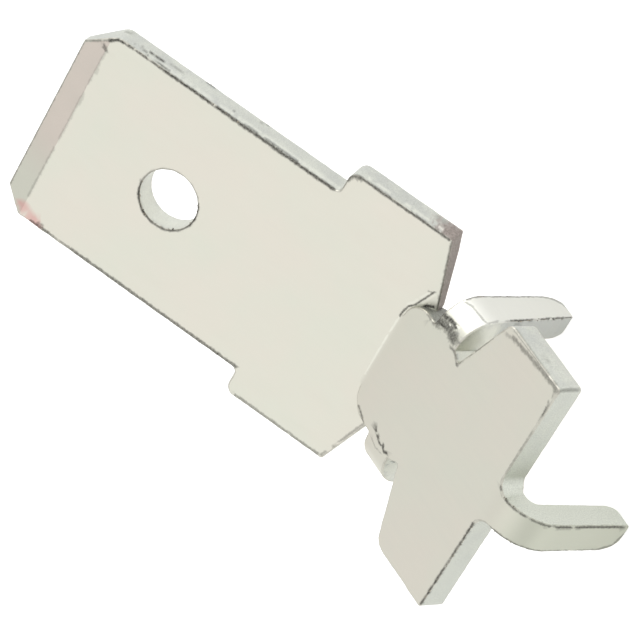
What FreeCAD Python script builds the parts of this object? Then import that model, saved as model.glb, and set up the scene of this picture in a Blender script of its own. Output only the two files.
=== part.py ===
import FreeCAD, Part
import math
import os

# Frame: the origin lies on the board, midway between the two side legs.
# X runs across the part, Y from the blade towards the rear leg, Z up.

# Sheet
sheet = 0.8
strip_width = 7.8

# Blade and shoulders, measured in the plane of the blade
blade_angle = 32.4
blade_width = 6.3
blade_length = 7.95
tip_cut_across = 0.63
tip_cut_along = 0.72
tip_cut_round = 0.15
bevel_length = 0.7
bevel_depth = 0.22
hole_diameter = 1.8
hole_from_tip = 4.0
shoulder_height = 3.06
shoulder_round = 0.28
shoulder_inner_round = 0.15
lobe_length = 0.73
lobe_slope = 17.5
lobe_corner_round = 0.06

# Fold between the blade and the base
fold_inner_radius = 0.3
fold_to_side_legs = 1.56
neck_corner_radius = 0.74
relief_radius = 0.12
relief_to_side_legs = 1.02

# Base
wing_length = 2.33
wing_slope = 20.5
wing_near_round = 0.25
wing_far_round = 0.1
slit_gap = 0.44
slit_inset = 0.19
slit_round = 0.08

# Legs
leg_pitch = 5.08
leg_width = 0.96
leg_length = 3.08
leg_tip_width = 0.9
leg_tip_thickness = 0.75
side_tip_near_round = 0.75
side_tip_far_round = 0.12
rear_tip_round = 0.42
leg_tip_outer_round = 0.15
leg_tip_inner_round = 0.52
side_bend_inner_radius = 0.2
rear_bend_inner_radius = 0.3
rear_bend_outer_radius = 1.3
rear_root_round = 0.42


def rounded_outline(corners):
    """Closed wire through (point, radius) corners, each rounded by an arc of its radius."""
    points = [FreeCAD.Vector(*point) for point, radius in corners]
    radii = [radius for point, radius in corners]
    count = len(points)
    joints = []
    for i in range(count):
        back = (points[i - 1] - points[i]).normalize()
        ahead = (points[(i + 1) % count] - points[i]).normalize()
        if radii[i] <= 0:
            joints.append((points[i], points[i], None))
            continue
        half = back.getAngle(ahead) / 2
        reach = radii[i] / math.tan(half)
        middle = (back + ahead).normalize() * (radii[i] / math.sin(half) - radii[i])
        joints.append((points[i] + back * reach, points[i] + ahead * reach, points[i] + middle))
    edges = []
    for i in range(count):
        start, end, middle = joints[i]
        if middle is not None:
            edges.append(Part.Arc(start, middle, end).toShape())
        following = joints[(i + 1) % count][0]
        if end.distanceToPoint(following) > 1e-6:
            edges.append(Part.makeLine(end, following))
    return Part.Wire(edges)


def prism(corners, direction):
    """Solid with the given rounded outline, drawn out along the direction."""
    return Part.Face(rounded_outline(corners)).extrude(FreeCAD.Vector(*direction))


def both_sides(corners):
    """Corners on the positive X side, followed by their mirror images in reverse."""
    mirrored = [((-point[0],) + tuple(point[1:]), radius) for point, radius in reversed(corners)]
    return corners + mirrored


# Heights and lines that several features share
top = sheet
fold_y = -fold_to_side_legs
leg_outer_x = leg_pitch / 2 + sheet / 2
leg_inner_x = leg_outer_x - sheet
side_bend_outer_radius = side_bend_inner_radius + sheet
neck_half = leg_outer_x - side_bend_outer_radius
rear_outer_y = leg_pitch + sheet / 2
rear_inner_y = rear_outer_y - sheet
strip_half = strip_width / 2
blade_half = blade_width / 2
leg_half = leg_width / 2
leg_tip_half = leg_tip_width / 2
tip_z = -leg_length
mirror_plane = (FreeCAD.Vector(0, 0, 0), FreeCAD.Vector(1, 0, 0))

# Base and rear leg. Seen from above: neck with rounded corners, a slit behind each side leg,
# two wings and the tongue that becomes the rear leg
slit_x = neck_half - slit_inset
slit_y = leg_half + slit_gap
wing_near_y = slit_y + (strip_half - slit_x) * math.tan(math.radians(wing_slope))
wing_far_y = wing_near_y + wing_length
base_plan = prism(
    both_sides([
        ((neck_half, fold_y, top), neck_corner_radius),
        ((neck_half, leg_half, top), 0),
        ((slit_x, slit_y, top), slit_round),
        ((strip_half, wing_near_y, top), wing_near_round),
        ((strip_half, wing_far_y, top), wing_far_round),
        ((leg_half, wing_far_y, top), rear_root_round),
        ((leg_half, rear_outer_y, top), 0),
    ]),
    (0, 0, tip_z - top),
)

# Seen from the side: flat sheet up to the rear bend, then down to the rounded tip
base_side = prism(
    [
        ((-strip_half, fold_y, top), 0),
        ((-strip_half, rear_outer_y, top), rear_bend_outer_radius),
        ((-strip_half, rear_outer_y, tip_z), leg_tip_outer_round),
        ((-strip_half, rear_outer_y - leg_tip_thickness, tip_z), leg_tip_inner_round),
        ((-strip_half, rear_inner_y, 0), rear_bend_inner_radius),
        ((-strip_half, fold_y, 0), 0),
    ],
    (strip_width, 0, 0),
)

# Seen from behind: full width down to the board, below it the rear leg with its taper
base_front = prism(
    both_sides([
        ((strip_half, fold_y, top), 0),
        ((strip_half, fold_y, 0), 0),
        ((leg_half, fold_y, 0), 0),
        ((leg_tip_half, fold_y, tip_z), rear_tip_round),
    ]),
    (0, rear_outer_y - fold_y, 0),
)
base = base_plan.common(base_side).common(base_front)

# Side leg: bent down from the neck, narrowed towards its tip, which is cut round on the side
# that faces the blade
side_bend = prism(
    [
        ((0, -leg_half, top), 0),
        ((leg_outer_x, -leg_half, top), side_bend_outer_radius),
        ((leg_outer_x, -leg_half, tip_z), leg_tip_outer_round),
        ((leg_outer_x - leg_tip_thickness, -leg_half, tip_z), leg_tip_inner_round),
        ((leg_inner_x, -leg_half, 0), side_bend_inner_radius),
        ((0, -leg_half, 0), 0),
    ],
    (0, leg_width, 0),
)
side_taper = prism(
    [
        ((0, leg_half, top), 0),
        ((0, -leg_half, top), 0),
        ((0, -leg_half, 0), 0),
        ((0, -leg_tip_half, tip_z), side_tip_near_round),
        ((0, leg_tip_half, tip_z), side_tip_far_round),
        ((0, leg_half, 0), 0),
    ],
    (leg_outer_x, 0, 0),
)
side_leg = side_bend.common(side_taper)

# Blade plate, drawn flat with the fold line along X, then turned up about that line
fold_half = neck_half - neck_corner_radius
half_angle = math.radians(blade_angle / 2)
fold_inner_reach = fold_inner_radius * math.tan(half_angle)
lobe_start_y = lobe_length - (strip_half - neck_half) * math.tan(math.radians(lobe_slope))
blade_tip_y = -shoulder_height - blade_length
blade = prism(
    both_sides([
        ((fold_half, -fold_inner_reach, -sheet), 0),
        ((fold_half, lobe_length, -sheet), 0),
        ((neck_half, lobe_length, -sheet), 0),
        ((strip_half, lobe_start_y, -sheet), lobe_corner_round),
        ((strip_half, -shoulder_height, -sheet), shoulder_round),
        ((blade_half, -shoulder_height, -sheet), shoulder_inner_round),
        ((blade_half, blade_tip_y + tip_cut_along, -sheet), tip_cut_round),
        ((blade_half - tip_cut_across, blade_tip_y, -sheet), 0),
    ]),
    (0, 0, sheet),
)
upper_bevel = prism(
    [
        ((-strip_half, blade_tip_y + bevel_length, 0), 0),
        ((-strip_half, blade_tip_y, 0), 0),
        ((-strip_half, blade_tip_y, -bevel_depth), 0),
    ],
    (strip_width, 0, 0),
)
lower_bevel = upper_bevel.mirror(FreeCAD.Vector(0, 0, -sheet / 2), FreeCAD.Vector(0, 0, 1))
hole = Part.makeCylinder(
    hole_diameter / 2,
    sheet,
    FreeCAD.Vector(0, blade_tip_y + hole_from_tip, -sheet),
)
blade = blade.cut(upper_bevel).cut(lower_bevel).cut(hole)
blade.rotate(FreeCAD.Vector(0, 0, 0), FreeCAD.Vector(1, 0, 0), -blade_angle)
blade.translate(FreeCAD.Vector(0, fold_y, top))

# Under the board line the two lobes of the blade are pressed flush with the base
press = Part.makeBox(
    strip_width,
    blade_length,
    strip_width,
    FreeCAD.Vector(-strip_half, fold_y - blade_length / 2, -strip_width),
)
blade = blade.cut(press)

# Fold: the strip between the two neck corners carries the rounded bend
fold_outer_reach = (fold_inner_radius + sheet) * math.tan(half_angle)
fold_outer_y = fold_y - sheet * math.tan(half_angle)
up_y = -math.cos(math.radians(blade_angle)) * fold_outer_reach
up_z = math.sin(math.radians(blade_angle)) * fold_outer_reach
fold = prism(
    [
        ((-fold_half, fold_y + fold_outer_reach, 0), 0),
        ((-fold_half, fold_y + fold_outer_reach, top), 0),
        ((-fold_half, fold_y, top), fold_inner_radius),
        ((-fold_half, fold_y + up_y, top + up_z), 0),
        ((-fold_half, fold_outer_y + up_y, up_z), 0),
        ((-fold_half, fold_outer_y, 0), fold_inner_radius + sheet),
    ],
    (2 * fold_half, 0, 0),
)

# Relief: a small round bite where each neck corner meets the lobe and the side leg
relief = Part.makeCylinder(
    relief_radius,
    sheet,
    FreeCAD.Vector(neck_half, -relief_to_side_legs, 0),
)

terminal = base.fuse([side_leg, side_leg.mirror(*mirror_plane), blade, fold])
terminal = terminal.cut([relief, relief.mirror(*mirror_plane)])
terminal = terminal.removeSplitter()

os.makedirs("parts", exist_ok=True)
terminal.exportStep("parts/spade_terminal.step")
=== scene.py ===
import bpy
import bmesh
import math
from mathutils import Matrix, Vector, noise
from mathutils.geometry import delaunay_2d_cdt


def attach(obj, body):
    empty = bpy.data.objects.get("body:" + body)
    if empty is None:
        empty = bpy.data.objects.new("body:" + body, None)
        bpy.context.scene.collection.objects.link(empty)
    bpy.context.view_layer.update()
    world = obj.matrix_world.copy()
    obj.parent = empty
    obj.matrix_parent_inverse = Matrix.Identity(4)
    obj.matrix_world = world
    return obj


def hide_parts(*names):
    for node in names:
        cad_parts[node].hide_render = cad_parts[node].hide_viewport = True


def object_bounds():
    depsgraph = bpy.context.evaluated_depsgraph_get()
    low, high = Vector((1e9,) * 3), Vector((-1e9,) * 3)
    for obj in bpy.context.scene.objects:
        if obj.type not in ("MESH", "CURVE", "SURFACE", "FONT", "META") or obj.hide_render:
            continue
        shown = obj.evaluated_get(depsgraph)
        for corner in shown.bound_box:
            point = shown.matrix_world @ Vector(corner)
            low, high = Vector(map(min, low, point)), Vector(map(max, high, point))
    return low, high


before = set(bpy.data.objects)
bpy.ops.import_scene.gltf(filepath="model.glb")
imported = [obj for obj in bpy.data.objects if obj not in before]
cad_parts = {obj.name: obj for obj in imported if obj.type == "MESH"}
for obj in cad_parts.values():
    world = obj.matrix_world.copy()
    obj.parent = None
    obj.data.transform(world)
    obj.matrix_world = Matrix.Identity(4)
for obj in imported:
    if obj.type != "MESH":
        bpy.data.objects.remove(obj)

cad_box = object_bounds()
mm = 0.001

# Stamped sheet
# Tin-plated brass strip, 0.8 mm thick, blanked in a die and folded in one piece. The mesh starts as a
# flat blank too, with edges rolled by the punch, and each point is carried round the bends. Sizes are
# mm on the blank: x across (left is +X), y from the blade's tip (negative) past the fold (0), w down.
sheet = 0.8

# Fold and neck
blade_angle = math.radians(32.4)
fold_y = -1.56
fold_half = 1.2
fold_radius = 0.3
fold_reach = fold_radius * math.tan(blade_angle / 2)
neck_half = 1.94
neck_radius = 0.74

# Blade with its lobes, shoulders, bevelled tip and detent hole
blade_half = 3.15
strip_half = 3.8995
shoulder_height = 3.06
shoulder_round = 0.28
shoulder_inner_round = 0.15
right_lobe_length = 0.73
right_lobe_edge = 0.112
left_lobe_length = 0.82
left_lobe_edge = 0.15
lobe_root_round = 0.1
lobe_corner_round = 0.06
press_level = 0.002
tip_reach = shoulder_height + 7.95
lead_in_length = 0.7
lead_in_depth = 0.22
crease_y = lead_in_length - tip_reach
right_cut_along = 0.82
right_cut_across = 0.78
right_cut_round = 0.45
left_cut_along = 0.62
left_cut_across = 0.5
left_cut_round = 0.15
hole_radius = 0.845
hole_reach = tip_reach - 4.09
hole_x = 0.035
hole_rim = hole_radius + 0.02

# Wings, and the slit between each wing and its leg
slit_x = 1.75
slit_y = 2.48
slit_round = 0.08
wing_near_y = 3.284
wing_far_y = 5.614
right_wing_lead = 0.085
right_wing_round = 0.25
left_wing_round = 0.45
wing_far_round = 0.1

# Side legs, and how the sheet is squeezed inside their bends
leg_length = 3.08
leg_near_y = 1.08
leg_far_y = 2.04
leg_root_round = 0.04
leg_root_swell = 0.06
leg_far_bend_x = 3.4
leg_far_bend_round = 0.5
side_bend_radius = 1.0
side_leg_short = 0.1
side_arc = side_bend_radius * math.pi / 2
side_leg_end = neck_half + side_arc + leg_length + sheet - side_bend_radius - side_leg_short
bend_bulge = 0.26
bend_spread = 0.11
squeeze_middle = 1.1
squeeze_reach = 0.6

# Rear leg, which leans a little to the left
leg_half = 0.48
rear_bend_y = 5.74
rear_outer_radius = 1.3
rear_inner_radius = 0.3
rear_root_round = 0.42
rear_lean = 0.045
rear_arc = rear_outer_radius * math.pi / 2
rear_leg_end = rear_bend_y + rear_arc + leg_length + sheet - rear_outer_radius

# Leg tips
side_tip_round = 0.6
rear_tip_round = 0.68
tip_tight_round = 0.2
tip_outer_round = 0.15
tip_inner_round = 0.52
tip_thinning = 0.05
tip_inset = 0.03
right_tip_inset = 0.1

# Rolled edges and the spacing of the mesh
front_roll = 0.05
back_roll = 0.035
outline_step = 0.04
face_step = 0.17
mark_step = 0.032
fine_step = 0.05
crease_half = 3.1
wall_rows = (0.1, 0.24, 0.4, 0.55, 0.7, 0.86)
touching = 0.0001

# Marks: full within full_share of their half width; lines below wall_depth stay off the top face
least_ragged = 0.75
full_share = 0.4
face_depth = -0.03
wall_depth = -0.05

PLATED, SHEARED, ROLLED, COINED = range(4)

# Tool marks, dirt and painted light on the flat blank: a line of (x, y, w) points, its half width,
# strength and gaps.
# A positive strength darkens. This covers burr, grit and dirt, and the dark lines along rolled edges,
# which are partly painted dark reflection. It also covers painted shade in corners, on shaded walls and
# over highlights. A negative strength paints a
# highlight: glints, light fringes and lightened walls. Gaps break the line into dashes, from -1 (whole)
# upwards.
base_marks = [
    ([(-2.0, 0.95, 0), (-2.14, 1.25, 0), (-2.2, 1.55, 0), (-2.14, 1.9, 0)], 0.2, 0.85, -0.1),
    ([(-2.27, 1.1, 0), (-2.37, 1.4, 0), (-2.38, 1.66, 0)], 0.1, 1.0, 0.0),
    ([(-2.05, 1.1, 0), (-2.12, 1.45, 0)], 0.07, 1.0, 0.2),
    # Painted glints on the -X leg's bend.
    ([(-2.4, 1.64, 0), (-2.42, 1.74, 0)], 0.05, -1.0, -1.0),
    ([(-2.2, 1.3, 0), (-2.28, 1.5, 0)], 0.03, -0.8, 0.2),
    # Painted shade on the neck's side wall, in the corner by the lobe.
    ([(-1.93, 0.3, -0.4), (-1.94, 1.06, -0.4)], 0.6, 0.6, -1.0),
    ([(-1.94, 0.72, 0), (-1.92, 1.02, 0)], 0.06, 0.6, -0.2),
    ([(-1.9, 1.95, 0), (-1.93, 2.1, 0), (-1.79, 2.34, 0)], 0.055, 0.65, 0.0),
    ([(-1.78, 2.36, 0), (-1.71, 2.42, 0), (-1.85, 2.48, 0)], 0.05, 0.75, -0.2),
    ([(-1.85, 2.48, 0), (-2.3, 2.62, 0), (-2.62, 2.75, 0), (-3.2, 2.94, 0)], 0.04, 0.6, 0.1),
    # A painted glint by the slit.
    ([(-2.36, 2.63, 0), (-2.42, 2.66, 0)], 0.05, -0.8, -1.0),
    ([(-2.92, 1.12, 0), (-3.04, 1.4, 0), (-3.05, 1.7, 0), (-3.08, 2.06, 0)], 0.04, 0.5, 0.25),
    ([(-3.0, 1.11, 0), (-3.6, 1.12, 0), (-5.6, 1.13, 0)], 0.065, 0.75, -0.3),
    # Painted highlight on the -X leg's bend.
    ([(-2.5, 1.1, 0), (-2.95, 1.1, 0)], 0.08, -0.9, -1.0),
    ([(-2.6, 1.15, 0), (-2.66, 1.9, 0)], 0.24, -0.9, -1.0),
    ([(-5.6, 1.13, 0), (-5.95, 1.25, 0), (-6.2, 1.5, 0), (-6.35, 1.9, 0)], 0.06, 0.5, -0.2),
    ([(-3.1, 2.08, 0), (-3.9, 2.06, 0)], 0.045, 0.4, 0.1),
    ([(-3.9, 2.06, 0), (-4.6, 2.03, 0), (-6.3, 1.94, 0)], 0.05, 1.0, 0.08),
    ([(-4.1, 2.04, -0.15), (-4.5, 2.04, -0.2)], 0.08, 0.4, 0.3),
    ([(1.7, 1.28, 0), (1.8, 1.5, 0), (1.84, 1.68, 0)], 0.07, 1.0, -0.15),
    ([(1.78, 1.74, 0), (1.9, 1.86, 0), (1.84, 2.0, 0)], 0.06, 0.95, -0.15),
    ([(1.9, 2.06, -0.1), (2.0, 2.1, -0.35), (1.88, 2.12, -0.5)], 0.07, 0.9, -0.1),
    ([(2.0, 2.1, -0.35), (2.3, 2.06, -0.3)], 0.05, 0.7, 0.0),
    ([(1.98, 1.3, 0), (2.06, 1.55, 0), (2.02, 1.8, 0)], 0.03, 0.35, 0.1),
    # A painted sheen lightening the +X leg's far wall.
    ([(1.9, 2.1, -0.3), (2.2, 2.05, -0.4), (3.3, 2.04, -0.4)], 0.55, -0.5, -1.0),
    ([(1.84, 2.02, -0.03), (2.12, 2.05, -0.2), (2.24, 2.05, -0.12)], 0.06, 0.9, -0.1),
    ([(2.24, 2.05, -0.12), (2.3, 2.05, -0.4)], 0.06, 0.5, 0.2),
    ([(2.6, 1.3, 0), (2.75, 1.6, 0), (2.9, 1.95, 0)], 0.05, 0.45, 0.25),
    ([(1.72, 0.35, 0), (1.8, 0.57, 0), (1.9, 0.75, 0)], 0.05, 0.75, 0.2),
    ([(-3.6, 3.25, 0), (-3.68, 3.5, 0)], 0.07, 0.35, 0.1),
    # A real grainy line inside the -X wing's edge, and painted shade laid over the highlight on its
    # rolled edge.
    ([(-3.7, 3.5, 0), (-3.78, 4.4, 0), (-3.83, 5.3, 0), (-3.83, 5.5, 0)], 0.085, 0.6, -0.1),
    ([(-3.77, 5.5, 0), (-3.88, 5.6, -0.1), (-3.9, 5.61, -0.7)], 0.08, 0.55, -0.2),
    ([(-3.89, 3.4, -0.02), (-3.89, 5.4, -0.02)], 0.06, 0.4, 0.0),
    # A painted sheen lightening the slit wall and the -X leg's far wall.
    ([(-1.94, 2.1, -0.4), (-1.75, 2.48, -0.4)], 0.5, -0.5, -1.0),
    ([(-2.2, 2.05, -0.4), (-3.3, 2.04, -0.4)], 0.55, -0.65, -1.0),
    ([(-3.42, 5.5, 0), (-3.3, 5.56, 0)], 0.04, 0.6, 0.2),
    ([(-3.3, 5.55, 0), (-3.0, 5.58, 0)], 0.05, 0.7, 0.1),
    ([(-3.77, 5.5, 0), (-3.3, 5.57, 0), (-2.2, 5.6, 0), (-0.8, 5.62, 0)], 0.045, 0.35, 0.2),
    ([(-3.9, 4.3, -0.3), (-3.9, 4.6, -0.3)], 0.1, 0.25, 0.2),
    ([(-0.6, 5.7, 0), (-0.5, 5.95, 0), (-0.45, 6.2, 0)], 0.05, 0.9, 0.05),
    ([(-0.45, 6.2, 0), (-0.44, 6.9, 0), (-0.43, 7.4, 0)], 0.045, 0.75, -0.1),
    ([(-0.43, 7.4, 0), (-0.42, 8.2, 0), (-0.41, 10.0, 0)], 0.05, 0.9, -0.05),
    ([(-0.36, 7.3, 0), (-0.37, 8.0, 0), (-0.36, 8.5, 0)], 0.05, 0.35, 0.2),
    ([(0.46, 6.1, 0), (0.45, 7.2, 0), (0.45, 8.6, 0)], 0.055, 0.85, -0.1),
    ([(0.45, 8.6, 0), (0.42, 9.6, 0), (0.25, 10.1, 0), (-0.3, 10.3, 0)], 0.05, 0.6, 0.0),
    ([(-0.4, 10.0, 0), (-0.36, 10.33, -0.1)], 0.07, 0.8, -0.2),
    ([(0.84, 5.6, 0), (0.95, 5.61, 0)], 0.06, 0.95, -0.2),
    ([(0.95, 5.61, 0), (2.2, 5.61, 0), (3.8, 5.61, 0)], 0.05, 0.95, 0.0),
]
blade_marks = [
    # Painted contact shadow where the neck's edge crosses the blade's flank.
    ([(-1.15, -0.04, 0), (-1.36, -0.03, 0), (-1.56, 0.02, 0), (-1.72, 0.15, 0), (-1.93, 0.23, 0),
      (-2.09, 0.3, 0), (-2.36, 0.4, 0)], 0.032, 1.0, -0.25),
    # Painted light fringes beside it, and a painted highlight along the fold.
    ([(-1.6, -0.04, 0), (-1.75, 0.08, 0), (-1.95, 0.16, 0), (-2.3, 0.32, 0)], 0.04, -0.35, 0.1),
    ([(-1.25, -0.03, 0), (-0.6, -0.05, 0), (0.1, -0.045, 0), (0.9, -0.02, 0)], 0.028, -0.6, -0.2),
    ([(-1.7, 0.23, 0), (-1.93, 0.31, 0), (-2.3, 0.46, 0)], 0.04, -0.3, 0.15),
    ([(-2.3, 0.33, 0), (-2.28, 0.25, 0)], 0.03, 0.5, -0.2),
    # A painted dark pit at the neck corner, with painted glints in it.
    ([(-1.76, 0.34, 0), (-1.88, 0.42, 0), (-1.97, 0.58, 0)], 0.075, 1.0, 0.05),
    ([(-1.93, 0.47, -0.05), (-1.98, 0.55, -0.1)], 0.08, -1.0, -1.0),
    ([(-1.86, 0.52, 0), (-1.9, 0.6, 0)], 0.035, -1.0, -1.0),
    # Painted shade over the -X lobe's slanted wall, which faces down into the part's shadow.
    ([(-1.9, 0.74, -0.4), (-2.9, 0.42, -0.4), (-3.9, 0.1, -0.4)], 0.75, 0.6, -1.0),
    ([(-2.0, 0.7, -0.02), (-2.9, 0.42, -0.02), (-3.85, 0.12, -0.02)], 0.05, 0.65, -0.3),
    ([(-2.37, -11.0, 0), (-2.7, -10.6, 0), (-2.92, -10.36, 0)], 0.04, 0.55, -0.1),
    ([(-2.92, -10.36, 0), (-3.08, -10.16, 0), (-3.14, -9.9, 0), (-3.15, -9.7, 0)], 0.055, 1.0, -0.4),
    ([(-3.14, -9.7, -0.01), (-3.14, -9.0, -0.01), (-3.14, -8.7, -0.01)], 0.05, 0.85, 0.12),
    ([(-3.14, -8.7, -0.01), (-3.14, -7.6, -0.01), (-3.14, -6.7, -0.01)], 0.06, 1.0, -0.3),
    ([(-3.14, -6.7, -0.01), (-3.14, -5.4, -0.01), (-3.14, -3.24, -0.01)], 0.07, 0.95, -0.4),
    # A painted light band along the -X wall.
    ([(-3.15, -8.9, -0.16), (-3.15, -5.0, -0.18), (-3.15, -3.1, -0.18)], 0.1, -0.3, 0.0),
    ([(-2.68, -10.46, 0), (-2.62, -10.3, 0)], 0.09, 0.7, 0.1),
    ([(-3.15, -9.9, -0.1), (-3.15, -9.4, -0.22)], 0.05, 0.6, 0.25),
    ([(-3.15, -9.3, -0.3), (-3.15, -8.9, -0.36)], 0.07, 1.0, 0.0),
    ([(-3.15, -9.3, -0.12), (-3.15, -8.6, -0.12)], 0.04, 0.7, 0.2),
    ([(-3.15, -6.2, -0.12), (-3.15, -4.4, -0.12)], 0.035, 0.5, 0.25),
    ([(-3.15, -5.9, -0.7), (-3.15, -5.7, -0.76)], 0.05, 0.7, 0.0),
    ([(-3.15, -10.9, -0.35), (-3.15, -10.5, -0.45)], 0.06, 0.35, 0.2),
    ([(-3.15, -10.2, -0.56), (-3.15, -10.05, -0.6)], 0.09, 0.45, 0.1),
    ([(-3.15, -9.75, -0.25), (-3.15, -9.55, -0.3)], 0.05, 0.65, 0.1),
    ([(-3.15, -8.7, -0.42), (-3.15, -8.1, -0.5)], 0.05, 0.4, 0.2),
    ([(-3.15, -6.6, -0.3), (-3.15, -6.2, -0.5)], 0.08, 0.5, 0.25),
    ([(-3.15, -7.66, -0.74), (-3.15, -7.5, -0.79)], 0.08, 0.9, 0.0),
    ([(-3.25, -3.06, -0.01), (-3.6, -3.06, -0.01)], 0.05, 0.5, -0.2),
    ([(-3.6, -3.06, 0), (-3.82, -2.95, 0), (-3.88, -2.75, 0)], 0.1, 0.75, -0.3),
    ([(-3.89, -2.8, -0.01), (-3.89, -1.2, -0.01), (-3.89, 0.0, -0.01)], 0.055, 0.9, -0.3),
    # A painted light band along the -X wall.
    ([(-3.9, -2.6, -0.2), (-3.9, -0.1, -0.2)], 0.1, -0.4, 0.2),
    ([(-3.9, -0.5, -0.6), (-3.9, 0.05, -0.6)], 0.25, 0.35, 0.0),
    ([(3.08, -9.95, 0), (3.08, -9.3, 0)], 0.06, 0.8, -0.1),
    ([(3.02, -9.75, 0), (2.98, -9.6, 0)], 0.06, 0.5, 0.1),
    ([(3.08, -9.3, 0), (3.08, -8.6, 0)], 0.05, 0.6, -0.1),
    ([(3.08, -8.6, 0), (3.08, -6.0, 0), (3.09, -3.1, 0)], 0.07, 0.8, -0.2),
    ([(3.83, -2.8, 0), (3.83, 0.0, 0)], 0.06, 0.6, 0.0),
    ([(3.8, 0.1, 0), (2.0, 0.7, 0)], 0.045, 0.5, 0.15),
    ([(2.6, -10.96, 0), (2.4, -11.0, 0), (0.0, -11.0, 0), (-2.3, -11.0, 0)], 0.04, 0.6, -0.1),
    ([(2.36, -11.0, -0.2), (0.0, -11.0, -0.2), (-2.3, -11.0, -0.2)], 0.1, 0.6, -0.1),
    ([(2.5, -10.33, 0), (0.0, -10.31, 0), (-2.6, -10.3, 0)], 0.05, 0.28, 0.1),
    ([(-2.0, -10.25, 0), (-0.8, -10.27, 0)], 0.06, 0.22, 0.2),
]
# Wear and a shade tint, kept in the copper attribute: a positive strength shows the copper tone of the
# brass, and a negative one a cooler, purer tin. The copper at the tip's corner is wear; the brown on the
# -X lobe's wall is painted shade.
cool_marks = [([(-3.6, 1.58, 0), (-6.3, 1.55, 0)], 1.4, -1.0, -1.0)]
copper_marks = [
    # Painted shade: the brown tint on the -X lobe's slanted wall.
    ([(-1.9, 0.74, -0.4), (-2.9, 0.42, -0.4), (-3.9, 0.1, -0.4)], 0.75, 0.32, -1.0),
    ([(2.85, -10.4, 0), (2.98, -10.1, 0), (3.08, -9.75, 0)], 0.2, 0.75, -0.6),
]


def ring(radius, w, degrees):
    """Points round the middle of the hole, at these angles."""
    turns = [math.radians(t) for t in degrees]
    return [(hole_x + radius * math.cos(t), -hole_reach + radius * math.sin(t), w) for t in turns]


hole_marks = [
    (ring(hole_rim, 0, range(start, stop + 1, 8)), 0.05, strength, gaps)
    for start, stop, strength, gaps in (
        (-88, -24, 1.0, -0.3), (-24, 72, 0.8, 0.05), (72, 122, 1.0, -0.2), (122, 272, 0.4, 0.1))
]
# A painted sheen lightening the hole's wall.
hole_marks.append((ring(hole_radius, -0.4, range(0, 361, 15)), 0.6, -0.35, -1.0))
blade_marks += hole_marks


def rounded(corners, step):
    """Evenly spaced points along a closed outline of (x, y, radius) corners."""
    runs = []
    for i, (x, y, radius) in enumerate(corners):
        here = Vector((x, y))
        if radius == 0:
            runs.append([here])
            continue
        back = (Vector(corners[i - 1][:2]) - here).normalized()
        ahead = (Vector(corners[(i + 1) % len(corners)][:2]) - here).normalized()
        half = back.angle(ahead) / 2
        centre = here + (back + ahead).normalized() * radius / math.sin(half)
        start = here + back * radius / math.tan(half) - centre
        end = here + ahead * radius / math.tan(half) - centre
        sweep = -start.angle_signed(end)
        pieces = max(3, math.ceil(abs(sweep) * radius / step))
        runs.append([centre + Matrix.Rotation(sweep * k / pieces, 2) @ start for k in range(pieces + 1)])
    points = []
    for run, following in zip(runs, runs[1:] + runs[:1]):
        points.extend(run)
        gap = following[0] - run[-1]
        pieces = max(1, math.ceil(gap.length / step))
        points.extend(run[-1] + gap * k / pieces for k in range(1, pieces))
    return points


def inward(points):
    """Direction into the sheet at each point of an outline with the sheet on its left."""
    result = []
    for before, here, after in zip(points[-1:] + points[:-1], points, points[1:] + points[:1]):
        came = (here - before).normalized()
        goes = (after - here).normalized()
        left = Vector((-came.y - goes.y, came.x + goes.x))
        result.append(left / max(0.6, 1 + came.dot(goes)))
    return result


def rows_of(loops):
    """The outline's segments, sorted into the 0.1 mm rows that they cross."""
    rows = {}
    for loop in loops:
        for a, b in zip(loop, loop[1:] + loop[:1]):
            for row in range(math.floor(min(a.y, b.y) * 10), math.floor(max(a.y, b.y) * 10) + 1):
                rows.setdefault(row, []).append((a, b))
    return rows


def inside(point, rows):
    """True where the point lies on the sheet."""
    x, y = point
    crossings = 0
    for a, b in rows.get(math.floor(y * 10), ()):
        if (a.y > y) != (b.y > y) and x < a.x + (y - a.y) * (b.x - a.x) / (b.y - a.y):
            crossings += 1
    return crossings % 2 == 1


def rounded_off(radius, left):
    """Depth that a corner of this radius takes off a face, this far from the leg's end."""
    return radius - math.sqrt(max(0.0, radius ** 2 - max(0.0, radius - left) ** 2))


def leg_tip(w, left):
    """Depth near a leg's tip, where both faces round off and the leg thins a little."""
    outer_cut = rounded_off(tip_outer_round, left)
    inner_cut = rounded_off(tip_inner_round, left) + tip_thinning * max(0.0, 1 - left / leg_length)
    return -outer_cut + w * (sheet - outer_cut - inner_cut) / sheet


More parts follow.
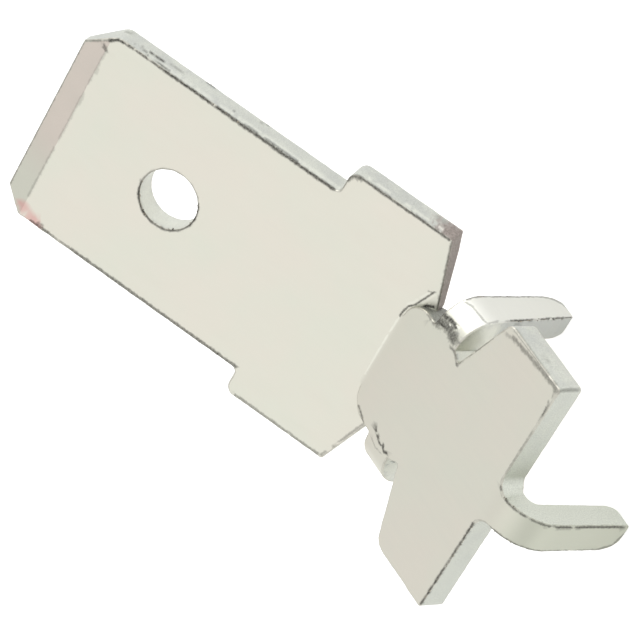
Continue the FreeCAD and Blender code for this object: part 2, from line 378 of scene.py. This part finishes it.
def folded_base(x, y, w):
    """Where a point of the base and its legs ends up."""
    if y > rear_bend_y and abs(x) < 1:
        past = y - rear_bend_y
        w = leg_tip(w, rear_leg_end - y)
        share = min(past / rear_arc, 1.0)
        turn = share * math.pi / 2
        centre_y = rear_bend_y + fold_y
        outer = Vector((centre_y + rear_outer_radius * math.sin(turn),
                        sheet - rear_outer_radius * (1 - math.cos(turn))))
        flat_run = rear_outer_radius - sheet - rear_inner_radius
        inner_arc = rear_inner_radius * math.pi / 2
        along = share * (2 * flat_run + inner_arc)
        turn = min(max((along - flat_run) / rear_inner_radius, 0.0), math.pi / 2)
        inner = Vector((centre_y + min(along, flat_run) + rear_inner_radius * math.sin(turn),
                        -rear_inner_radius * (1 - math.cos(turn))
                        - max(0.0, along - flat_run - inner_arc)))
        place = inner + (outer - inner) * (1 + w / sheet)
        down = max(0.0, past - rear_arc)
        return Vector((x + rear_lean * down, place.x, place.y - down))
    if abs(x) > neck_half and y < 2.2:
        past = abs(x) - neck_half
        w = leg_tip(w, side_leg_end - abs(x))
        squeezed = -w / sheet * math.exp(-((past - squeeze_middle) / squeeze_reach) ** 2)
        w *= 1 + bend_bulge * squeezed
        y += bend_spread * squeezed * (2 * y - leg_near_y - leg_far_y) / (leg_far_y - leg_near_y)
        turn = min(past / side_bend_radius, math.pi / 2)
        radius = side_bend_radius + w
        out = neck_half + radius * math.sin(turn)
        height = sheet - side_bend_radius + radius * math.cos(turn) - max(0.0, past - side_arc)
        return Vector((math.copysign(out, x), y + fold_y, height))
    return Vector((x, y + fold_y, sheet + w))


def raised_blade(x, y, w):
    """Where a point of the blade ends up.

    What would come below the base's underside is pressed flush, 0.002 mm above it, so that the two
    faces don't coincide.
    """
    cut = lead_in_depth * max(0.0, 1 - (tip_reach + y) / lead_in_length)
    w = -cut + w * (sheet - 2 * cut) / sheet
    up = math.sin(blade_angle)
    level = math.cos(blade_angle)
    height = sheet - y * up + w * level
    if height < press_level:
        w += (press_level - height) / level
        height = press_level
    return Vector((x, fold_y + y * level + w * up, height))


def fold_strip(x, y, w):
    """Where a point of the fold itself ends up, between the two neck corners."""
    turn = blade_angle * 0.5 * (1 - y / fold_reach)
    radius = fold_radius - w
    return Vector((x, fold_y + fold_reach - radius * math.sin(turn),
                   sheet + fold_radius - radius * math.cos(turn)))


def in_fold(x, y):
    """True between the two neck corners, where the sheet curves up into the blade."""
    return abs(x) <= fold_half + touching and abs(y) < fold_reach


def place_base(x, y, w):
    """Place of a point of the blank from the fold line to the rear leg."""
    return fold_strip(x, y, w) if in_fold(x, y) else folded_base(x, y, w)


def place_blade(x, y, w):
    """Place of a point of the blank from the blade's tip to the fold line, and of the lobes."""
    return fold_strip(x, y, w) if in_fold(x, y) and y < 0.01 else raised_blade(x, y, w)


def turned_normal(place, x, y, w, flat_normal):
    """The flat blank's normal, carried round the bends with the sheet.

    Steps of 0.004 mm along each axis show how the sheet is turned and stretched there.
    """
    h = 0.004
    side = math.copysign(h, x)
    here = place(x, y, w)
    if place is place_blade and here.z <= press_level:
        return Vector((0, 0, -1))
    across = (here - place(x - side, y, w)) / side
    along = (place(x, y + h, w) - here) / h
    through = (here - place(x, y, w - h)) / h
    jacobian = Matrix((across, along, through)).transposed()
    if abs(jacobian.determinant()) < 1e-6:
        return through.normalized()
    return (jacobian.inverted().transposed() @ flat_normal).normalized()


def ripple(x, y, scale, seed):
    """Smooth random value between about -1 and 1, in waves of 1 / scale mm."""
    return noise.noise(Vector((x * scale, y * scale, seed)))


def mark_value(marks, x, y, w):
    """Strongest mark at a place of the blank.

    Its borders are ragged by 0.12 and 0.05 mm waves, and its dashes are about 0.4 and 0.15 mm long.
    """
    here = Vector((x, y, w))
    ragged = 1 + 0.6 * ripple(x + w, y, 8.0, 1.0) + 0.45 * ripple(x + w, y, 20.0, 2.0)
    ragged = max(least_ragged, ragged)
    dashes = ripple(x, y, 2.6, 5.0) + 0.5 * ripple(x, y, 7.0, 6.0) + 0.28
    value = 0.0
    for line, half_width, strength, gaps in marks:
        reach = half_width / least_ragged
        if not min(p[0] for p in line) - reach < x < max(p[0] for p in line) + reach:
            continue
        if not min(p[1] for p in line) - reach < y < max(p[1] for p in line) + reach:
            continue
        if w > face_depth and max(p[2] for p in line) < wall_depth:
            continue
        nearest = math.inf
        for a, b in zip(line, line[1:]):
            a = Vector(a)
            run = Vector(b) - a
            share = min(1.0, max(0.0, (here - a).dot(run) / run.length_squared))
            nearest = min(nearest, (a + run * share - here).length)
        inner = 1 - min(1.0, max(0.0, (nearest * ragged / half_width - full_share) / (1 - full_share)))
        broken = min(1.0, max(0.0, 1 + 5 * (dashes - gaps)))
        found = strength * inner * broken
        if abs(found) > abs(value):
            value = found
    return value


def on_fold(p):
    """True on the line where the blank's two parts are joined."""
    return abs(p.y) < touching and abs(p.x) < fold_half + touching


def blank(mesh, loops, place, marks, spots=(), crease=None):
    """One part of the flat blank with rolled edges, carried to its place by the given function."""
    layers = mesh.verts.layers
    blank_place = layers.float_vector["blank_place"]
    turned = layers.float_vector["turned_normal"]
    marks_and_painted_light = layers.float["marks_and_painted_light"]
    copper = layers.float["copper"]
    quarter = [0.0, math.pi / 6, math.pi / 3, math.pi / 2]

    def vertex(x, y, w, flat_normal):
        made = mesh.verts.new(place(x, y, w) * mm)
        made[blank_place] = (x, y, w)
        made[turned] = turned_normal(place, x, y, w, flat_normal)
        made[marks_and_painted_light] = mark_value(marks, x, y, w)
        made[copper] = mark_value(spots, x, y, w)
        return made

    rims = {"front": [], "back": []}
    for loop in loops:
        into = inward(loop)
        ways = [n.normalized().to_3d() for n in into]
        # The punch rolled the edge over unevenly, in waves of 0.25 and 0.08 mm
        rolls = [0.0 if on_fold(p) else
                 1 + 0.55 * ripple(p.x, p.y, 4.0, 3.0) + 0.33 * ripple(p.x, p.y, 13.0, 9.0)
                 for p in loop]
        rings = []
        for a in quarter:
            rings.append([
                (p + n * front_roll * r * (1 - math.sin(a)), -front_roll * r * (1 - math.cos(a)),
                 Vector((0, 0, math.cos(a))) - math.sin(a) * way if r else Vector((0, 0, 1)))
                for p, n, r, way in zip(loop, into, rolls, ways)
            ])
        for share in wall_rows:
            rings.append([(p, -front_roll * r - share * (sheet - (front_roll + back_roll) * r), -way)
                          for p, r, way in zip(loop, rolls, ways)])
        for a in reversed(quarter):
            rings.append([
                (p + n * back_roll * r * (1 - math.sin(a)), -sheet + back_roll * r * (1 - math.cos(a)),
                 Vector((0, 0, -math.cos(a))) - math.sin(a) * way if r else Vector((0, 0, -1)))
                for p, n, r, way in zip(loop, into, rolls, ways)
            ])
        made = [[vertex(p.x, p.y, w, normal) for p, w, normal in ring] for ring in rings]
        wall_start = len(quarter) - 1
        wall_end = len(rings) - len(quarter)
        for k in range(len(rings) - 1):
            for i in range(len(loop)):
                j = (i + 1) % len(loop)
                if on_fold(loop[i]) and on_fold(loop[j]):
                    continue
                face = mesh.faces.new((made[k][i], made[k + 1][i], made[k + 1][j], made[k][j]))
                face.material_index = SHEARED if wall_start <= k < wall_end else ROLLED
        rims["front"].append(([p for p, w, normal in rings[0]], made[0]))
        rims["back"].append(([p for p, w, normal in rings[-1]], made[-1]))
    for side, w, up in (("front", 0.0, 1.0), ("back", -sheet, -1.0)):
        points = []
        known = []
        edges = []
        for rim, made in rims[side]:
            first = len(points)
            points.extend(rim)
            known.extend(made)
            edges.extend((first + i, first + (i + 1) % len(rim)) for i in range(len(rim)))
        rows = rows_of([rim for rim, made in rims[side]])
        low = Vector((min(p.x for p in points), min(p.y for p in points)))
        high = Vector((max(p.x for p in points), max(p.y for p in points)))
        # Points beside the crease and the fold keep those lines straight, and points along the marks
        # carry their borders; the rest of the face is an open grid
        extra = []
        if crease is not None:
            extra.extend((Vector((-crease_half + fine_step * k, crease)), 0.04)
                         for k in range(round(2 * crease_half / fine_step) + 1))
        for row in (-1.0, -0.7, -0.4, 0.4, 0.7, 1.0):
            extra.extend((Vector((-fold_half + fine_step * k, row * fold_reach)), 0.03)
                         for k in range(round(2 * fold_half / fine_step) + 1))
        if side == "front":
            for line, half_width, strength, gaps in marks:
                reach = half_width / least_ragged + mark_step
                count = round(reach / mark_step)
                for a, b in zip(line, line[1:]):
                    if min(a[2], b[2]) < wall_depth:
                        continue
                    start = Vector(a[:2])
                    run = Vector(b[:2]) - start
                    aside = Vector((-run.y, run.x)).normalized()
                    steps = math.ceil(run.length / mark_step)
                    extra.extend(
                        (start + run * k / steps + aside * mark_step * (j + 0.5 * (k % 2)), mark_step)
                        for k in range(steps + 1) for j in range(-count, count + 1))
        for i in range(int((high.x - low.x) / face_step) + 1):
            for j in range(int((high.y - low.y) / face_step) + 1):
                extra.append((low + Vector((i + 0.5 * (j % 2), j)) * face_step, face_step))
        cell = 0.1
        cells = {}
        for p in points:
            cells.setdefault((math.floor(p.x / cell), math.floor(p.y / cell)), []).append(p)
        for p, step in extra:
            column, row = math.floor(p.x / cell), math.floor(p.y / cell)
            near = (q for a in (-1, 0, 1) for b in (-1, 0, 1)
                    for q in cells.get((column + a, row + b), ()))
            if any((q - p).length < 0.6 * step for q in near) or not inside(p, rows):
                continue
            points.append(p)
            known.append(None)
            cells.setdefault((column, row), []).append(p)
        flat_points, _, triangles, sources, _, _ = delaunay_2d_cdt(points, edges, [], 1, 1e-5)
        lookup = []
        for p, origin in zip(flat_points, sources):
            found = next((known[k] for k in origin if known[k] is not None), None)
            lookup.append(found or vertex(p.x, p.y, w, Vector((0, 0, up))))
        for triangle in triangles:
            middle = sum((flat_points[k] for k in triangle), Vector((0, 0))) / 3
            corners = [lookup[k] for k in triangle]
            if len(set(corners)) < 3 or not inside(middle, rows):
                continue
            if side == "back":
                corners.reverse()
            face = mesh.faces.new(corners)
            face.material_index = COINED if crease is not None and middle.y < crease else PLATED


left_half = [
    (fold_half, 0, 0), (neck_half, 0, neck_radius), (neck_half, leg_near_y, leg_root_round),
    (side_leg_end, leg_near_y + tip_inset, side_tip_round),
    (side_leg_end, leg_far_y - tip_inset, tip_tight_round),
    (leg_far_bend_x, leg_far_y, leg_far_bend_round), (neck_half, leg_far_y + leg_root_swell, 0),
    (slit_x, slit_y, slit_round), (strip_half, wing_near_y, left_wing_round),
    (strip_half, wing_far_y, wing_far_round), (leg_half, wing_far_y, rear_root_round),
]
rear_tip = [
    (leg_half - tip_inset, rear_leg_end, rear_tip_round),
    (-leg_half + tip_inset, rear_leg_end, tip_tight_round),
]
right_half = [
    (-leg_half, wing_far_y, rear_root_round), (-strip_half, wing_far_y, wing_far_round),
    (-strip_half, wing_near_y - right_wing_lead, right_wing_round),
    (-slit_x, slit_y - right_wing_lead, slit_round), (-neck_half, leg_far_y + leg_root_swell, 0),
    (-leg_far_bend_x, leg_far_y + leg_root_swell, leg_far_bend_round),
    (-side_leg_end, leg_far_y - right_tip_inset, tip_tight_round),
    (-side_leg_end, leg_near_y + tip_inset, side_tip_round),
    (-neck_half, leg_near_y, leg_root_round), (-neck_half, 0, neck_radius), (-fold_half, 0, 0),
]
base_loop = rounded(left_half + rear_tip + right_half, outline_step)
blade_loop = rounded(
    [
        (fold_half, 0, 0), (-fold_half, 0, 0),
        (-fold_half, right_lobe_length, lobe_root_round), (-neck_half, right_lobe_length, 0),
        (-strip_half, right_lobe_edge, lobe_corner_round),
        (-strip_half, -shoulder_height, shoulder_round),
        (-blade_half, -shoulder_height, shoulder_inner_round),
        (-blade_half, -tip_reach + right_cut_along, right_cut_round),
        (-blade_half + right_cut_across, -tip_reach, 0),
        (blade_half - left_cut_across, -tip_reach, 0),
        (blade_half, -tip_reach + left_cut_along, left_cut_round),
        (blade_half, -shoulder_height, shoulder_inner_round),
        (strip_half, -shoulder_height, shoulder_round),
        (strip_half, left_lobe_edge, lobe_corner_round), (neck_half, left_lobe_length, 0),
        (fold_half, left_lobe_length, lobe_root_round),
    ],
    outline_step,
)
hole_steps = 120
hole_loop = [
    Vector((hole_x + hole_radius * math.cos(a), -hole_reach + hole_radius * math.sin(a)))
    for a in (-math.tau * k / hole_steps for k in range(hole_steps))
]

mesh = bmesh.new()
mesh.verts.layers.float_vector.new("blank_place")
mesh.verts.layers.float_vector.new("turned_normal")
mesh.verts.layers.float.new("marks_and_painted_light")
mesh.verts.layers.float.new("copper")
blank(mesh, [base_loop], place_base, base_marks, cool_marks)
blank(mesh, [blade_loop, hole_loop], place_blade, blade_marks, copper_marks, crease_y)
bmesh.ops.remove_doubles(mesh, verts=mesh.verts, dist=0.00001 * mm)
sheet_mesh = bpy.data.meshes.new("stamped_sheet")
mesh.to_mesh(sheet_mesh)
mesh.free()
stamped = bpy.data.objects.new("stamped_sheet", sheet_mesh)
bpy.context.collection.objects.link(stamped)
blank_places = [item.vector.copy() for item in sheet_mesh.attributes["blank_place"].data]
vertex_normals = [item.vector.copy() for item in sheet_mesh.attributes["turned_normal"].data]
corner_normals = [None] * len(sheet_mesh.loops)
for polygon in sheet_mesh.polygons:
    polygon.use_smooth = True
    for corner in polygon.loop_indices:
        index = sheet_mesh.loops[corner].vertex_index
        normal = vertex_normals[index]
        x, y, w = blank_places[index]
        if abs(y - crease_y) < touching and polygon.material_index in (PLATED, COINED):
            nudge = -0.02 if polygon.material_index == COINED else 0.02
            facing = Vector((0, 0, math.copysign(1, w + sheet / 2)))
            normal = turned_normal(place_blade, x, y + nudge, w, facing)
        corner_normals[corner] = normal
sheet_mesh.normals_split_custom_set(corner_normals)
sheet_mesh.attributes.remove(sheet_mesh.attributes["turned_normal"])


def linear(hex_colour):
    """sRGB hex to the linear colour that a shader takes."""
    values = [int(hex_colour[i:i + 2], 16) / 255 for i in (0, 2, 4)]
    return [v / 12.92 if v <= 0.04045 else ((v + 0.055) / 1.055) ** 2.4 for v in values] + [1.0]


def add_node(tree, kind, settings=None, **links):
    """One node with its settings and the values or sockets of its inputs."""
    node = tree.nodes.new(kind)
    for name, value in (settings or {}).items():
        setattr(node, name, value)
    for name, value in links.items():
        key = int(name[1:]) if name[0] == "i" and name[1:].isdigit() else name.replace("_", " ")
        socket = node.inputs[key]
        if isinstance(value, bpy.types.NodeSocket):
            tree.links.new(value, socket)
        else:
            socket.default_value = value
    return node


def mixed(tree, share, first, second, blend="MIX"):
    """Colour between two colours, or another blend of them."""
    return add_node(tree, "ShaderNodeMix", {"data_type": "RGBA", "blend_type": blend},
                    i0=share, i6=first, i7=second).outputs[2]


def ranged(tree, value, low, high, to_low=0.0, to_high=1.0):
    """Value carried from one range to another."""
    return add_node(tree, "ShaderNodeMapRange", Value=value, From_Min=low, From_Max=high,
                    To_Min=to_low, To_Max=to_high).outputs[0]


def metal(name, colours, roughness, blotch, grain, tint, fleck=0.0, dirt_and_shade_colour="504f4a", pure="e0e0d9"):
    """Plated metal with the blank's marks on it: real dirt and tool marks, painted shade and painted
    highlights.

    The two colours lie in soft blotches, blotch of them per mm. Grain is the number of rolling lines
    per mm on each axis. Tint is (axis, low, high, colour) and takes the metal over to that colour
    between two places in mm. Fleck is how far the fine flecks darken it.
    """
    # Patterns per mm of the blank. The blotches, 3 mm on the faces and 0.3 to 0.6 mm on the edges, are
    # as real. Rolling lines lie about 0.01 mm apart on real strip and its grit is as fine; they are
    # drawn coarser, as lines 0.1 mm apart, flecks of 0.04 mm and speckle of 0.06 mm, so that they
    # show in a picture of the whole part.
    flecks_per_mm = 26.0
    speckle_per_mm = 17.0
    material = bpy.data.materials.new(name)
    material.use_nodes = True
    tree = material.node_tree
    shader = tree.nodes["Principled BSDF"]
    shader.inputs["Metallic"].default_value = 1.0
    place = add_node(tree, "ShaderNodeAttribute", {"attribute_name": "blank_place"}).outputs["Vector"]
    marks = add_node(tree, "ShaderNodeAttribute", {"attribute_name": "marks_and_painted_light"}).outputs["Fac"]
    wear_and_shade_tint = add_node(tree, "ShaderNodeAttribute", {"attribute_name": "copper"}).outputs["Fac"]

    cloud = add_node(tree, "ShaderNodeTexNoise", Vector=place, Scale=blotch, Detail=3.0, Roughness=0.55)
    spread = ranged(tree, cloud.outputs["Fac"], 0.36, 0.64)
    base = mixed(tree, spread, linear(colours[0]), linear(colours[1]))
    axis, low, high, colour = tint
    along = add_node(tree, "ShaderNodeSeparateXYZ", Vector=place).outputs[axis]
    share = add_node(tree, "ShaderNodeMapRange", {"interpolation_type": "SMOOTHSTEP"},
                     Value=along, From_Min=low, From_Max=high)
    base = mixed(tree, share.outputs[0], base, linear(colour))

    stretched = add_node(tree, "ShaderNodeMapping", Vector=place, Scale=grain)
    lines = add_node(tree, "ShaderNodeTexNoise", Vector=stretched.outputs[0], Scale=1.0, Detail=4.0,
                     Roughness=0.6).outputs["Fac"]
    fine = add_node(tree, "ShaderNodeTexNoise", Vector=place, Scale=flecks_per_mm, Detail=2.0,
                    Roughness=0.8)
    shade = add_node(tree, "ShaderNodeMath", {"operation": "MULTIPLY"},
                     i0=ranged(tree, lines, 0.3, 0.7, 0.985, 1.01),
                     i1=ranged(tree, fine.outputs["Fac"], 0.32, 0.68, 1.0 - fleck, 1.0 + 0.6 * fleck))
    base = mixed(tree, 1.0, base, shade.outputs[0], "MULTIPLY")

    # Wear towards the brass tone; on the -X lobe's slanted wall the same tint is a brown painted shade.
    base = mixed(tree, wear_and_shade_tint, base, linear("d9aaa4"))
    cool = add_node(tree, "ShaderNodeMath", {"operation": "MULTIPLY", "use_clamp": True},
                    i0=wear_and_shade_tint, i1=-1.0)
    base = mixed(tree, cool.outputs[0], base, linear(pure))
    # Positive marks darken towards the dark tone: real dirt, grit and burr, plus painted shade and
    # painted dark reflections.
    speckle = add_node(tree, "ShaderNodeTexNoise", Vector=place, Scale=speckle_per_mm, Detail=3.0,
                       Roughness=0.7)
    dark = add_node(tree, "ShaderNodeMath", {"operation": "MULTIPLY", "use_clamp": True},
                    i0=marks, i1=ranged(tree, speckle.outputs["Fac"], 0.36, 0.58, 0.65, 1.0))
    base = mixed(tree, dark.outputs[0], base, linear(dirt_and_shade_colour))
    # Negative marks paint highlights, glints and lightened walls in a near-white.
    painted_highlight = add_node(tree, "ShaderNodeMath", {"operation": "MULTIPLY", "use_clamp": True},
                    i0=marks, i1=-1.0)
    base = mixed(tree, painted_highlight.outputs[0], base, linear("f6f6ea"))

    dull = add_node(tree, "ShaderNodeMath", {"operation": "MULTIPLY_ADD"}, i0=dark.outputs[0], i1=0.2,
                    i2=ranged(tree, lines, 0.3, 0.7, roughness - 0.04, roughness + 0.05))
    relief = add_node(tree, "ShaderNodeBump", Height=lines, Strength=0.05, Distance=0.004 * mm)
    tree.links.new(base, shader.inputs["Base Color"])
    tree.links.new(dull.outputs[0], shader.inputs["Roughness"])
    tree.links.new(relief.outputs[0], shader.inputs["Normal"])
    return material


# Bright tin on brass gives the eye a soft silver with a warm cast and no mirror image; the sheared
# walls show bare greyish drag lines, the rolled edges a broken dark line, and the coined lead-in
# a pinkish tone where the punch rubbed through towards the brass.
# The tints towards the rear leg are painted light. The plate and rolled edges go darker and greener
# there as painted shade, and the sheared walls from the rear bend on go lighter as a painted sheen. The
# rolled edges' broken dark line is partly real grit and partly a painted dark reflection.
for material in (
    metal("bright_tin_plate", ("e2ded2", "dfdfd2"), 0.42, 0.35, (9.0, 0.7, 4.0),
          ("Y", 5.4, 7.2, "c8cabb")),
    metal("sheared_edge", ("c8cac4", "d3d5cc"), 0.48, 1.6, (9.0, 9.0, 1.2), ("Y", 5.45, 5.75, "d9dcd2"),
          fleck=0.14, pure="cbcdc9"),
    metal("rolled_edge", ("c9c7bc", "dad8cc"), 0.45, 3.0, (12.0, 12.0, 8.0), ("Y", 5.4, 7.2, "c4c6b8"),
          fleck=0.1),
    metal("coined_lead_in", ("dad1c7", "d6cec4"), 0.45, 0.7, (9.0, 1.6, 4.0), ("X", 0.4, 2.2, "d5d5c8"),
          fleck=0.02),
):
    sheet_mesh.materials.append(material)
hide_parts("spade_terminal")
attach(stamped, "root")

# Burr
# Crumbs of torn tin and brass, a few hundredths of a millimetre across, that the die left along the
# sheared edges. They grow along the strong narrow marks, where the rolled edge is dark, and make
# those lines gritty. Sizes are in millimetres.
crumb_spacing = 0.075
crumb_size = 0.024
crumb_gaps = 0.45
crumb_scatter = 0.024
crumb_seed = 11
burr_step = 0.1
burr_sunk = 0.025
burr_inset = 0.993
least_strength = 0.75
greatest_half_width = 0.08
edge_clearance = 0.1
low_limit = [value / mm + edge_clearance for value in cad_box[0]]
high_limit = [value / mm - edge_clearance for value in cad_box[1]]
burr_places = []
burr_blanks = []
burr_outs = []
burr_edges = []
for place, marks in ((place_base, base_marks), (place_blade, blade_marks)):
    for line, half_width, strength, gaps in marks:
        if strength < least_strength or half_width > greatest_half_width:
            continue
        stops = []
        for a, b in zip(line, line[1:]):
            run = Vector(b) - Vector(a)
            pieces = math.ceil(run.length / burr_step)
            stops.extend(Vector(a) + run * k / pieces for k in range(pieces))
        before = None
        for x, y, w in stops:
            found = place(x * burr_inset, y, w - burr_sunk)
            if not all(low < value < high for low, value, high in zip(low_limit, found, high_limit)):
                before = None
                continue
            if before is not None:
                burr_edges.append((before, len(burr_places)))
            before = len(burr_places)
            burr_places.append(found)
            burr_blanks.append(Vector((x, y, w)))
            burr_outs.append(turned_normal(place, x, y, w, Vector((0, 0, 1))))
burr_mesh = bpy.data.meshes.new("burr")
burr_mesh.from_pydata(burr_places, burr_edges, [])
for name, values in (("blank_place", burr_blanks), ("out", burr_outs)):
    attribute = burr_mesh.attributes.new(name, "FLOAT_VECTOR", "POINT")
    for item, value in zip(attribute.data, values):
        item.vector = value
burr = bpy.data.objects.new("burr", burr_mesh)
bpy.context.collection.objects.link(burr)

# Torn brass and tin dust gives the eye dull brown-grey specks; some crumbs carry a painted glint, and
# towards the rear leg they are darkened as painted shade.
torn_metal = metal("torn_burr", ("8f887a", "bdb4a2"), 0.5, 9.0, (9.0, 9.0, 9.0),
                   ("Y", 5.4, 7.2, "a09c8a"))
growth = bpy.data.node_groups.new("burr_growth", "GeometryNodeTree")
growth.interface.new_socket("Lines", in_out="INPUT", socket_type="NodeSocketGeometry")
growth.interface.new_socket("Burr", in_out="OUTPUT", socket_type="NodeSocketGeometry")
modifier = burr.modifiers.new("growth", "NODES")
modifier.node_group = growth
for name, kind, value in (
    ("Spacing", "NodeSocketFloat", crumb_spacing), ("Size", "NodeSocketFloat", crumb_size),
    ("Gaps", "NodeSocketFloat", crumb_gaps), ("Scatter", "NodeSocketFloat", crumb_scatter),
    ("Seed", "NodeSocketInt", crumb_seed),
):
    socket = growth.interface.new_socket(name, in_out="INPUT", socket_type=kind)
    modifier[socket.identifier] = value
entry = add_node(growth, "NodeGroupInput").outputs
seeds = [add_node(growth, "ShaderNodeMath", {"operation": "ADD"}, i0=entry["Seed"], i1=k).outputs[0]
         for k in range(4)]

# Points along the lines, some left out and the rest shifted a little
curve = add_node(growth, "GeometryNodeMeshToCurve", Mesh=entry["Lines"])
crumbs = add_node(growth, "GeometryNodeCurveToPoints", {"mode": "LENGTH"}, Curve=curve.outputs[0],
                  Length=entry["Spacing"])
missing = add_node(growth, "FunctionNodeRandomValue", {"data_type": "BOOLEAN"},
                   i6=entry["Gaps"], i8=seeds[0])
crumbs = add_node(growth, "GeometryNodeDeleteGeometry", {"domain": "POINT"},
                  Geometry=crumbs.outputs["Points"], Selection=missing.outputs[3])
shift = add_node(growth, "FunctionNodeRandomValue", {"data_type": "FLOAT_VECTOR"},
                 i0=(-1, -1, -1), i1=(1, 1, 1), i8=seeds[1])
shift = add_node(growth, "ShaderNodeVectorMath", {"operation": "SCALE"},
                 i0=shift.outputs[0], Scale=entry["Scatter"])
crumbs = add_node(growth, "GeometryNodeSetPosition",
                  Geometry=crumbs.outputs[0], Offset=shift.outputs[0])

# Each crumb gets its own darkness, some a painted glint instead, lies along the sheet and has its own
# width and length
shade = add_node(growth, "FunctionNodeRandomValue", {"data_type": "FLOAT"},
                 i2=-0.3, i3=1.0, i8=seeds[2])
crumbs = add_node(growth, "GeometryNodeStoreNamedAttribute",
                  {"data_type": "FLOAT", "domain": "POINT"},
                  Geometry=crumbs.outputs[0], Name="marks_and_painted_light", Value=shade.outputs[1])
out = add_node(growth, "GeometryNodeInputNamedAttribute", {"data_type": "FLOAT_VECTOR"}, Name="out")
turn = add_node(growth, "FunctionNodeAlignRotationToVector", {"axis": "Z"}, Vector=out.outputs[0])
girth = add_node(growth, "FunctionNodeRandomValue", {"data_type": "FLOAT_VECTOR"},
                 i0=(0.4, 0.4, 0.3), i1=(1.6, 1.2, 0.8), i8=seeds[3])
girth = add_node(growth, "ShaderNodeVectorMath", {"operation": "SCALE"},
                 i0=girth.outputs[0], Scale=entry["Size"])
crumb = add_node(growth, "GeometryNodeMeshIcoSphere", Radius=1.0, Subdivisions=1)
grown = add_node(growth, "GeometryNodeInstanceOnPoints", Points=crumbs.outputs[0],
                 Instance=crumb.outputs[0], Rotation=turn.outputs[0], Scale=girth.outputs[0])
small = add_node(growth, "GeometryNodeTransform", Geometry=grown.outputs[0], Scale=(mm, mm, mm))
real = add_node(growth, "GeometryNodeRealizeInstances", Geometry=small.outputs[0])
real = add_node(growth, "GeometryNodeSetMaterial", Geometry=real.outputs[0], Material=torn_metal)
add_node(growth, "NodeGroupOutput", Burr=real.outputs[0])
bpy.context.view_layer.update()
depsgraph = bpy.context.evaluated_depsgraph_get()
burr_mesh = bpy.data.meshes.new_from_object(burr.evaluated_get(depsgraph), depsgraph=depsgraph)
burr.modifiers.remove(modifier)
burr.data = burr_mesh
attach(burr, "root")

# Floor
# Seamless sheet of matt white paper on which the legs stand. It is lit evenly and shines a little by
# itself, as an overexposed background does, so that only a faint shadow is left on it.
floor_reach = 400 * mm
floor_shine = 0.62
floor_shine_mirrored = 0.34
level = cad_box[0][2]
floor_mesh = bpy.data.meshes.new("floor")
floor_mesh.from_pydata(
    [(side * floor_reach, end * floor_reach, level)
     for side, end in ((-1, -1), (1, -1), (1, 1), (-1, 1))],
    [],
    [(0, 1, 2, 3)],
)
floor = bpy.data.objects.new("floor", floor_mesh)
bpy.context.collection.objects.link(floor)

# White paper gives the eye an even white with no gloss.
paper = bpy.data.materials.new("white_paper")
paper.use_nodes = True
tree = paper.node_tree
matte = tree.nodes["Principled BSDF"]
matte.inputs["Base Color"].default_value = linear("e0e0e0")
matte.inputs["Roughness"].default_value = 1.0
rays = add_node(tree, "ShaderNodeLightPath")
glow = add_node(tree, "ShaderNodeEmission")
seen = add_node(tree, "ShaderNodeMath", {"operation": "MULTIPLY"},
                i0=rays.outputs["Is Camera Ray"], i1=floor_shine)
mirrored = add_node(tree, "ShaderNodeMath", {"operation": "MULTIPLY_ADD"},
                    i0=rays.outputs["Is Glossy Ray"], i1=floor_shine_mirrored, i2=seen.outputs[0])
tree.links.new(mirrored.outputs[0], glow.inputs["Strength"])
total = add_node(tree, "ShaderNodeAddShader", i0=matte.outputs[0], i1=glow.outputs[0])
tree.links.new(total.outputs[0], tree.nodes["Material Output"].inputs["Surface"])
floor_mesh.materials.append(paper)

# Light
# A white cloth tent all round gives the even light of a catalogue picture. One wide soft panel over
# the -X leg gives its bend the bright streak, and a dimmer one opposite lifts the blade a little
# above the base. Panel distances and widths are in metres.
tent_brightness = 0.89
world = bpy.data.worlds.new("tent")
bpy.context.scene.world = world
world.use_nodes = True
world.node_tree.nodes["Background"].inputs["Color"].default_value = (1, 1, 1, 1)
world.node_tree.nodes["Background"].inputs["Strength"].default_value = tent_brightness


def panel(name, direction, distance, width, brightness):
    """Square soft panel aimed at the part; brightness is against the tent's white of 1."""
    data = bpy.data.lights.new(name, "AREA")
    data.shape = "SQUARE"
    data.size = width
    data.energy = brightness * math.pi * width * width
    lamp = bpy.data.objects.new(name, data)
    lamp.location = Vector(direction).normalized() * distance
    lamp.rotation_euler = (-lamp.location).to_track_quat("-Z", "Y").to_euler()
    bpy.context.collection.objects.link(lamp)


panel("bend_panel", (-0.72, -0.5, 0.45), 0.3, 0.24, 1.8)
panel("blade_panel", (0.525, 0.345, 0.777), 0.3, 0.22, 0.25)

# Camera
# A pinhole camera, fitted by least squares to the terminal's outline in the photograph. It looks down
# from above the legs' end with a long lens, and is rolled so that the blade runs up to the left.
focal_pixels = 3872.286
picture_pixels = 640
sensor_mm = 36
camera_data = bpy.data.cameras.new("camera")
camera_data.sensor_width = sensor_mm
camera_data.lens = focal_pixels * sensor_mm / picture_pixels
camera_data.clip_start = 0.005
camera = bpy.data.objects.new("camera", camera_data)
camera_place = Vector((-53.132, 53.644, 67.2745)) * mm
picture_right = Vector((-0.436059, 0.473078, -0.765538))
picture_up = Vector((-0.730749, -0.682623, -0.005597))
away = Vector((-0.525222, 0.556976, 0.643366))
turn = Matrix((picture_right, picture_up, away)).transposed().to_4x4()
camera.matrix_world = Matrix.Translation(camera_place) @ turn
bpy.context.collection.objects.link(camera)
bpy.context.scene.camera = camera
bpy.context.scene.view_settings.view_transform = "Standard"
